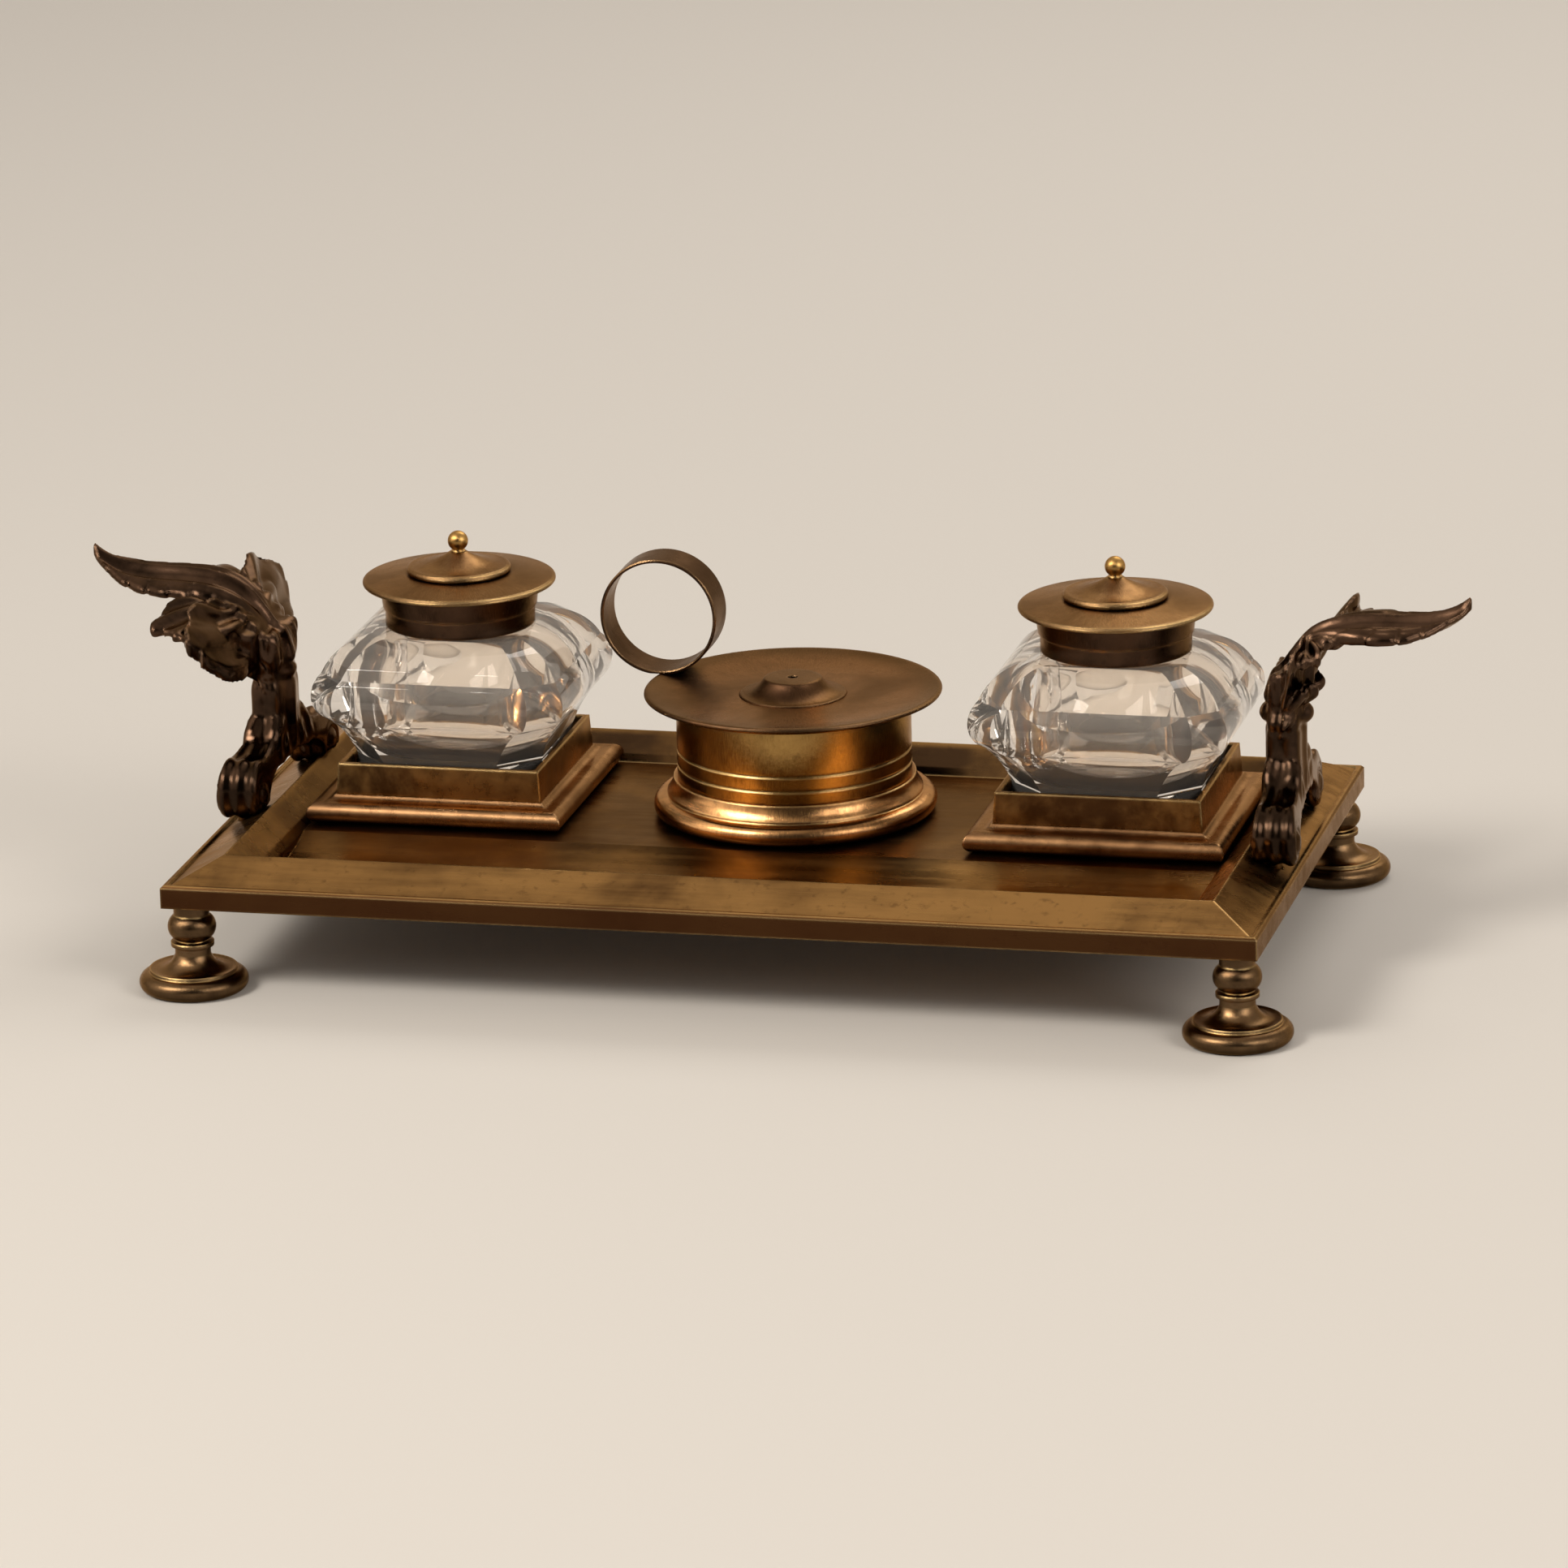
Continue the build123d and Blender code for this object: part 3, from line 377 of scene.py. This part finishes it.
    def bump(self, height, distance, strength, normal=None):
        node = self.add("ShaderNodeBump")
        node.inputs["Strength"].default_value = strength
        node.inputs["Distance"].default_value = distance
        self.link(height, node.inputs["Height"])
        if normal is not None:
            self.link(normal, node.inputs["Normal"])
        return node.outputs[0]


def rgb(colour):
    return (*colour, 1.0)


def metal(name, patina, rough, blotch, turned_about=None, streaks=0.35, stretch=(1, 1, 1),
          edge=0.0007, edge_strength=0.75, grime=0.004, grime_strength=0.75, rim=None,
          shelf=None, band=None, grazing=GRAZING):
    """Patinated brass or bronze: blotches of dark patina, fine grain, worn light edges.

    blotch is the scale of the blotches and edge the width of the worn edges. The grime keywords
    set the reach and strength of the painted shade, with dark patina, that darkens corners. rim
    darkens a rectangle's outer face, and shelf and band lay painted shade on a shelf and round
    a round rim. turned_about is the axis of a piece from the lathe.
    """
    dark, middle, worn = (rgb(colour) for colour in patina)
    t = Look(name)
    here = t.place(turned_about or (0, 0, 0))
    blotches = t.noise(here, blotch, 5.0, 0.6, 0.4)
    speckle = t.noise(here, SPECKLE_SCALE, 3.0, 0.6)
    if turned_about is None:
        lines = t.noise(t.scaled(here, stretch), LINE_SCALE, 4.0, 0.6)
    else:
        lines = t.noise(t.turned(here), TURNED_LINE_SCALE, 4.0, 0.6)
    off_middle = t.math("SUBTRACT", lines, 0.5)

    streaked = t.math("ADD", blotches, t.math("MULTIPLY", off_middle, streaks))
    colour = t.mix(t.span(streaked, *BLOTCH_STEP), dark, middle)
    colour = t.mix(t.span(speckle, *SPECKLE_STEP, 0.0, SPECKLE_SHOWN), colour, dark)
    uneven = t.span(t.noise(here, UNEVEN_SCALE, 3.0, 0.6), *UNEVEN_STEP, *UNEVEN_SHOWN)
    # Painted shade on the tray's shelf and round the cover's rim, made patchy by the uneven
    # noise.
    if shelf is not None:
        colour = t.mix(t.math("MULTIPLY", t.shelf(*shelf), uneven), colour, rgb(SHELF_AND_RIM_SHADE))
    if band is not None:
        colour = t.mix(t.math("MULTIPLY", t.rim_band(here, *band), uneven), colour,
                       rgb(SHELF_AND_RIM_SHADE))
    if rim is not None:
        colour = t.mix(t.math("MULTIPLY", t.rim_face(*rim), RIM_SHOWN), colour, rgb(EDGE_DARK))
    # Painted shade, with dark patina, darkens corners and hollows.
    shade_and_grime_colour = rgb([SHADE_AND_GRIME_SHARE * value for value in patina[0]])
    colour = t.mix(t.math("MULTIPLY", t.corners(grime), grime_strength), colour, shade_and_grime_colour)
    edge_mask, soft_normal = t.edges(edge)
    patchy = t.span(blotches, *WEAR_STEP, LEAST_WORN, edge_strength)
    worn_mask = t.math("MULTIPLY", edge_mask, patchy)
    t.link(t.mix(worn_mask, colour, worn), t.shader.inputs["Base Color"])
    t.shader.inputs["Metallic"].default_value = 1.0
    t.shader.inputs["Specular Tint"].default_value = rgb(grazing)

    by_blotch = t.math("MULTIPLY", t.math("SUBTRACT", 0.5, blotches), BLOTCH_POLISH)
    by_line = t.math("MULTIPLY", off_middle, LINE_POLISH)
    by_wear = t.math("MULTIPLY", worn_mask, WORN_POLISH)
    uneven_rough = t.math("ADD", t.math("ADD", by_blotch, by_line), rough)
    roughness = t.math("SUBTRACT", uneven_rough, by_wear, clamp=True)
    t.link(t.span(roughness, *ROUGHNESS_LIMITS, *ROUGHNESS_LIMITS),
           t.shader.inputs["Roughness"])
    height = t.math("ADD", t.math("MULTIPLY", lines, LINE_RELIEF),
                    t.math("MULTIPLY", speckle, SPECKLE_RELIEF))
    t.link(t.bump(height, GRAIN_DEPTH, GRAIN_STRENGTH, soft_normal), t.shader.inputs["Normal"])
    return t.material


def clear_glass(name):
    """Clear moulded glass, with slow waves left by the mould, a faint haze and scratches."""
    t = Look(name)
    here = t.place()
    waves = t.noise(here, WAVE_SCALE, 1.0, 0.3)
    scratches = t.noise(t.scaled(here, SCRATCHES_LEVEL), SCRATCH_SCALE, 4.0, 0.6)
    t.shader.inputs["Base Color"].default_value = rgb(GLASS_TINT)
    t.shader.inputs["Transmission Weight"].default_value = GLASS_CLEAR
    t.shader.inputs["IOR"].default_value = GLASS_IOR
    t.link(t.span(scratches, *SCRATCH_STEP, *GLASS_ROUGHNESS), t.shader.inputs["Roughness"])
    t.link(t.bump(waves, WAVE_DEPTH, WAVE_STRENGTH), t.shader.inputs["Normal"])
    return t.material


def middle_of(node):
    low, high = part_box(node)
    return tuple((low + high) / 2)


def dress(thing, material):
    """Makes a material the only one of an object."""
    thing.data.materials.clear()
    thing.data.materials.append(material)


def coat(node, *look, **more):
    """Gives a CAD node a metal of its own name."""
    dress(NODES[node], metal(node, *look, **more))


def leaflet_width(along, length, half_width):
    """Half the width of a pointed oval leaf, at distances along it."""
    share = np.clip(along / length, 0.0, 1.0)
    rise = np.where(share < LOBE_WIDEST, share / LOBE_WIDEST, (1 - share) / (1 - LOBE_WIDEST))
    return half_width * np.sqrt(np.clip(1 - (1 - rise) ** 2, 0.0004, 1.0))


def smooth(low, high, value):
    """0 below low, 1 above high, and a smooth step between."""
    share = np.clip((value - low) / (high - low), 0.0, 1.0)
    return share * share * (3 - 2 * share)


def within(rise, fall, value):
    """1 between two steps, and 0 before the first and after the second."""
    return smooth(*rise, value) * (1 - smooth(*fall, value))


def shown(name, mesh):
    """A new object in the scene."""
    thing = bpy.data.objects.new(name, mesh)
    bpy.context.scene.collection.objects.link(thing)
    return thing


def soften(thing, rounds):
    """Adds rounds of smoothing to an object."""
    soft = thing.modifiers.new("soft", "SMOOTH")
    soft.factor = 0.5
    soft.iterations = rounds


def settle(thing):
    """Applies an object's modifiers to its mesh."""
    graph = bpy.context.evaluated_depsgraph_get()
    made = bpy.data.meshes.new_from_object(thing.evaluated_get(graph))
    thing.modifiers.clear()
    thing.data = made
    made.polygons.foreach_set("use_smooth", [True] * len(made.polygons))


def lobe_line(solid, lobe, side, way):
    """Points along the middle of a lobe's thickness, from near its root to near its tip."""
    length, angle, start = lobe
    turn = math.radians(angle)
    down = Vector((0, 0, -1))
    line = []
    for share in np.linspace(*WEB_SPAN, WEB_STEPS):
        out = STEM_X + start + length * share * math.cos(turn)
        back = STEM_Y + way * length * share * math.sin(turn)
        top = solid.ray_cast(Vector((side * out, back, ABOVE_LEAF)) / 1000, down)[0]
        under = solid.ray_cast(top - Vector((0, 0, 1e-5)), down)[0]
        line.append((top + under) / 2)
    return line


def fan_sheet(node, side, way):
    """The web of leaf between a bracket's diagonal and side lobes; way is 1 at the back."""
    solid = BVHTree.FromObject(NODES[node], bpy.context.evaluated_depsgraph_get())
    lines = [lobe_line(solid, lobe, side, way) for lobe in (DIAGONAL_LOBE, SIDE_LOBE)]
    web = bmesh.new()
    rows = []
    for step in range(WEB_STEPS):
        row = []
        for across in np.linspace(0.0, 1.0, WEB_COLUMNS):
            tooth = abs(math.sin(WEB_TEETH * math.pi * across))
            back_off = WEB_TOOTH * (1 - tooth) + WEB_TOOTH * math.sin(math.pi * across)
            position = step * (1 - back_off)
            low = min(int(position), WEB_STEPS - 2)
            ends = [line[low].lerp(line[low + 1], position - low) for line in lines]
            row.append(web.verts.new(ends[0].lerp(ends[1], across)))
        rows.append(row)
    for one, two in zip(rows, rows[1:]):
        for k in range(WEB_COLUMNS - 1):
            web.faces.new((one[k], one[k + 1], two[k + 1], two[k]))
    bmesh.ops.recalc_face_normals(web, faces=web.faces)
    mesh = bpy.data.meshes.new(f"{node}_web")
    web.to_mesh(mesh)
    web.free()
    thing = shown(f"{node}_web", mesh)
    thick = thing.modifiers.new("thick", "SOLIDIFY")
    thick.thickness = WEB_THICKNESS
    thick.offset = 0
    settle(thing)
    made = thing.data
    bpy.data.objects.remove(thing)
    return made


def rounded_copy(node, extras):
    """A copy of a CAD node with closed meshes added, evenly meshed and rounded as a cast."""
    whole = bmesh.new()
    whole.from_mesh(NODES[node].data)
    for extra in extras:
        whole.from_mesh(extra)
    mesh = bpy.data.meshes.new(f"{node}_cast")
    whole.to_mesh(mesh)
    whole.free()
    thing = shown(f"{node}_cast", mesh)
    thing.modifiers.new("weld", "WELD").merge_threshold = 1e-6
    even = thing.modifiers.new("even", "REMESH")
    even.mode = "VOXEL"
    even.voxel_size = VOXEL
    soften(thing, CAST_ROUNDS)
    settle(thing)
    return thing


def read_vectors(mesh, key):
    """One vector for each vertex of a mesh, such as its place or its normal."""
    values = np.zeros(len(mesh.vertices) * 3)
    mesh.vertices.foreach_get(key, values)
    return values.reshape(-1, 3)


def leaf_carving(out, back, up, side):
    """How the leaf's points move outward, back and up, and how far they swell."""
    leafy = smooth(*LEAF_BASE, up)

    # Ribs along the middle lobe, square to its bent sheet, and teeth along its edges.
    length, half_width = MIDDLE_LOBE
    share = back / leaflet_width(out, length, half_width)
    blade = (1 - smooth(0.98, 1.16, np.abs(share))) * smooth(1.0, 7.0, out) * leafy
    fade = 1 - 0.75 * smooth(0.80, 1.0, out / length)
    wave = RIB_HEIGHT * np.cos(3 * math.pi * share)
    wave += FINE_RIB_HEIGHT * np.cos(9 * math.pi * share)
    level = smooth(2.0, 14.0, out)
    sheet = np.stack([-0.8 + 0.7 * level, 0 * level, 0.6 + 0.4 * level], 1)
    sheet /= np.linalg.norm(sheet, axis=1)[:, None]
    shift = (sheet.T * blade * wave * fade).T
    notch = np.mod(out / TOOTH_PITCH, 1.0) ** 2 * smooth(0.5, 1.0, np.abs(share))
    notch *= np.sign(share) * blade * fade * smooth(0.18, 0.34, out / length)
    shift[:, 1] -= TOOTH_SHARE * half_width * notch

    # Ribs that spread like a fan over the small lobes, and teeth round them.
    reach = np.hypot(out - LEAF_ROOT, back)
    angle = np.degrees(np.arctan2(np.abs(back), out - LEAF_ROOT))
    fan = (1 - blade) * leafy * smooth(26.0, 34.0, angle) * smooth(5.0, 12.0, reach)
    fan *= 1 - 0.7 * smooth(31.0, 37.0, reach)
    from_lobe = angle - DIAGONAL_LOBE[1]
    swell = FAN_RIB_HEIGHT * fan * np.cos(2 * math.pi * from_lobe / FAN_RIB_ANGLE)
    notch = np.mod(angle / FAN_TOOTH_ANGLE, 1.0) ** 1.5 * smooth(24.0, 36.0, reach) * leafy
    notch *= (1 - blade) * smooth(34.0, 40.0, angle)
    inward = -FAN_TOOTH_DEPTH * notch / np.maximum(reach, 1.0)
    shift[:, 0] += inward * (out - LEAF_ROOT)
    shift[:, 1] += inward * back
    if side < 0:
        shift[:, 2] -= BACK_DROOP * leafy * smooth(20.0, 38.0, back)
    return shift, swell


def stem_carving(out, back, up, side):
    """Flutes up the stem, and its knuckle: leafy on the right casting, flat on the left."""
    around = np.arctan2(back / STEM_HALF[1], (out - 0.4) / STEM_HALF[0])
    stem = within(STEM_BASE, STEM_TOP, up) * (1 - smooth(9.5, 13.0, np.abs(back)))
    swell = FLUTE_HEIGHT * stem * np.cos(FLUTES * around) + STEM_SWELL * stem
    upright = 1 - smooth(*KNUCKLE_SIDES, np.abs(back))
    near = np.exp(-((up - KNUCKLE_Z) / KNUCKLE_HALF) ** 2) * upright
    if side < 0:
        swell -= KNUCKLE_FLAT * near
    else:
        swell += KNUCKLE_LEAF_HEIGHT * near * np.cos(KNUCKLE_LEAVES * around + 0.6)
        edge = np.abs(np.abs(up - KNUCKLE_Z) - KNUCKLE_GROOVE_AT)
        swell -= KNUCKLE_GROOVE * np.exp(-(edge / KNUCKLE_GROOVE_HALF) ** 2) * upright
    return swell


def leg_carving(out, back, up, flat):
    """Volutes on the flat sides of the scroll feet, toes round them, ribs up the legs."""
    legs = 1 - smooth(*LEG_TOP, up)
    ribbed = legs * (1 - smooth(9.0, 14.0, np.abs(back))) * smooth(*LEG_RIB_BASE, up)
    swell = LEG_RIB_HEIGHT * ribbed * np.cos(2 * math.pi * back / LEG_RIB_PITCH)
    for end in (-1, 1):
        radius = np.hypot(back - end * LEG_SPREAD, up - SCROLL_Z)
        around = np.arctan2(up - SCROLL_Z, end * (back - end * LEG_SPREAD))
        coil = np.mod((radius - SCROLL_EYE) / VOLUTE_PITCH - around / (2 * math.pi), 1.0)
        groove = np.exp(-((coil - 0.5) / VOLUTE_GROOVE) ** 2) * flat
        groove *= within(VOLUTE_START, VOLUTE_END, radius)
        swell -= VOLUTE_DEPTH * groove
        toes = (1 - flat) * legs * smooth(9.0, 14.0, end * back)
        swell += TOE_HEIGHT * toes * np.cos(2 * math.pi * (out + TOE_OFFSET * end) / TOE_PITCH)
    return swell


def sculpt(points, normals, side):
    """Where the vertices of a carved bracket lie; side is -1 on the left and 1 on the right."""
    place = points * 1000
    out = side * place[:, 0] - STEM_X
    back = place[:, 1] - STEM_Y
    up = place[:, 2]
    flat = smooth(0.6, 0.85, np.abs(normals[:, 0]))
    shift, swell = leaf_carving(out, back, up, side)
    swell += stem_carving(out, back, up, side) + leg_carving(out, back, up, flat)
    shift[:, 0] *= side
    carved = place + shift + normals * swell[:, None]
    if side > 0:
        draw_in(carved)
    return carved / 1000


def draw_in(carved):
    """Bends small lobes of the right casting back to its stem, as the photograph has them."""
    out = carved[:, 0] - STEM_X
    back = carved[:, 1] - STEM_Y
    up = carved[:, 2]
    reach = np.hypot(out, back)
    angle = np.degrees(np.arctan2(-back, out))
    front = within(DRAWN_FROM, DRAWN_TO, angle) * smooth(*DRAWN_ABOVE, up)
    under = within(UNDER_FROM, DRAWN_TO, -angle) * within(UNDER_ABOVE, UNDER_BELOW, up)
    past = np.maximum(reach - DRAWN_REACH, 0.0)
    short = np.where(reach > DRAWN_REACH, DRAWN_REACH + past * DRAWN_SHARE, reach)
    scale = 1 + np.maximum(front, under) * (short / np.maximum(reach, 1e-6) - 1)
    carved[:, 0] = STEM_X + out * scale
    carved[:, 1] = STEM_Y + back * scale


def cast_bracket(side_name):
    """The carved bracket that is shown in place of the CAD one."""
    node = f"bracket_{side_name}"
    side = -1 if side_name == "left" else 1
    thing = rounded_copy(node, [fan_sheet(node, side, way) for way in (-1, 1)])
    points, normals = (read_vectors(thing.data, key) for key in ("co", "normal"))
    thing.data.vertices.foreach_set("co", sculpt(points, normals, side).ravel())
    thing.data.update()
    soften(thing, CARVED_ROUNDS)
    settle(thing)
    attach(thing, "stand")
    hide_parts(node)
    return thing


# Each piece's finish: patina, roughness and blotches, then what is special to it.
# The tray gets painted shade on its shelf, and painted shade with dark patina in its corners.
coat("tray", OLIVE, 0.36, 17.0, stretch=ALONG, grime=0.014, grime_strength=0.9,
     rim=TRAY_HALF, shelf=TRAY_SHELF)
for side in SIDES:
    at = middle_of(f"lid_disc_{side}")
    coat(f"plinth_{side}", PLINTH, 0.36, 30.0, edge_strength=0.9)
    coat(f"gallery_{side}", OLIVE, 0.38, 34.0, edge=0.0009, edge_strength=0.9)
    glass = f"inkwell_glass_{side}"
    dress(NODES[glass], clear_glass(glass))
    coat(f"collar_{side}", COLLAR, 0.30, 40.0, at)
    # The wide, full worn edges of the lid's disc and boss are partly wear and partly painted
    # highlight along their rims.
    coat(f"lid_disc_{side}", LID_DISC, 0.35, 36.0, at, edge=0.0012, edge_strength=1.0)
    coat(f"lid_skirt_{side}", BROWN, 0.4, 36.0, at)
    coat(f"lid_boss_{side}", LID_BOSS, 0.31, 44.0, at, edge=0.0012, edge_strength=1.0)
    coat(f"finial_{side}", GOLD, 0.22, 90.0, at)
    coat(f"finial_nut_{side}", NUT, 0.4, 60.0)
    bronze = metal(f"bracket_{side}", BRONZE, 0.21, 42.0, edge=0.0010, edge_strength=0.7,
                   grime_strength=0.85, grazing=BRONZE_GRAZING)
    dress(cast_bracket(side), bronze)
for corner in ("front_left", "front_right", "back_left", "back_right"):
    foot = f"foot_{corner}"
    coat(foot, FOOT, 0.24, 48.0, middle_of(foot))
for fasteners in ("inkwell_bolts", "inkwell_nuts", "pot_bolt", "pot_nut", "bracket_screws"):
    coat(fasteners, FASTENER, 0.42, 70.0)
at = middle_of("pot_body")
coat("pot_base", POT_BASE, 0.23, 26.0, at)
coat("pot_body", POT_BODY, 0.26, 22.0, at, streaks=0.6)
# The cover's pan gets painted shade round its rim.
coat("cover_pan", COVER, 0.36, 34.0, at, streaks=0.6, band=COVER_SHADE_BAND)
coat("cover_skirt", OLIVE, 0.36, 30.0, at)
coat("cover_bell", BELL, 0.34, 36.0, at, streaks=0.6, edge_strength=0.36)
coat("finger_ring", RING, 0.36, 50.0, grazing=BRONZE_GRAZING)

# The floor.
floor_mesh = bpy.data.meshes.new("floor")
floor_mesh.from_pydata([(-FLOOR_HALF, -FLOOR_HALF, 0), (FLOOR_HALF, -FLOOR_HALF, 0),
                        (FLOOR_HALF, FLOOR_HALF, 0), (-FLOOR_HALF, FLOOR_HALF, 0)], [],
                       [(0, 1, 2, 3)])
floor = shown("floor", floor_mesh)
plain = Look("floor")
plain.shader.inputs["Base Color"].default_value = FLOOR_COLOUR
plain.shader.inputs["Roughness"].default_value = FLOOR_ROUGHNESS
plain.shader.inputs["Specular IOR Level"].default_value = FLOOR_SHINE
floor_mesh.materials.append(plain.material)

# The world: what lights the object, what is seen behind it, and what polish mirrors.
world = bpy.data.worlds.new("studio")
bpy.context.scene.world = world
studio = Tree(world)


def background(colour, strength):
    """A plain light from all round; strength is a number or a socket."""
    node = studio.add("ShaderNodeBackground")
    node.inputs["Color"].default_value = colour
    studio.feed(node.inputs["Strength"], strength)
    return node.outputs[0]


def glow(direction, towards, low, high, strength):
    """Light that the room sends from one side: nothing below low, all of it above high."""
    facing = studio.add("ShaderNodeVectorMath", operation="DOT_PRODUCT")
    studio.link(direction, facing.inputs[0])
    facing.inputs[1].default_value = Vector(towards).normalized()
    return studio.span(facing.outputs["Value"], low, high, 0.0, strength)


direction = studio.add("ShaderNodeTexCoord").outputs["Generated"]
room = ROOM_DARK
for one_glow in ROOM_GLOWS:
    room = studio.math("ADD", glow(direction, *one_glow), room)
path = studio.add("ShaderNodeLightPath").outputs
plain_view = studio.math("MAXIMUM", path["Is Camera Ray"], path["Is Transmission Ray"])
light = background(WORLD_COLOUR, WORLD_LIGHT)
for chooser, other in ((path["Is Glossy Ray"], background(ROOM_COLOUR, room)),
                       (plain_view, background(WORLD_COLOUR, WORLD_SEEN))):
    choice = studio.add("ShaderNodeMixShader")
    studio.link(chooser, choice.inputs[0])
    studio.link(light, choice.inputs[1])
    studio.link(other, choice.inputs[2])
    light = choice.outputs[0]
studio.link(light, studio.add("ShaderNodeOutputWorld").inputs[0])

# Soft square lamps.
for name, place, aim, size, power, colour in LAMPS:
    data = bpy.data.lights.new(name, "AREA")
    data.shape = "RECTANGLE"
    data.size = size
    data.size_y = size
    data.energy = power
    data.color = colour
    lamp = shown(name, data)
    lamp.location = place
    towards = Vector(aim) - Vector(place)
    lamp.rotation_euler = towards.to_track_quat("-Z", "Y").to_euler()

# The camera.
camera_data = bpy.data.cameras.new("camera")
camera_data.sensor_width = SENSOR
camera_data.lens = FOCAL_PIXELS / IMAGE_SIDE * SENSOR
camera_data.clip_start, camera_data.clip_end = CLIP
camera = shown("camera", camera_data)
turn = Matrix((CAMERA_RIGHT, CAMERA_UP, CAMERA_BACK)).transposed()
camera.matrix_world = Matrix.Translation(CAMERA_PLACE) @ turn.to_4x4()
bpy.context.scene.camera = camera
bpy.context.scene.view_settings.view_transform = "Standard"

bpy.context.view_layer.update()
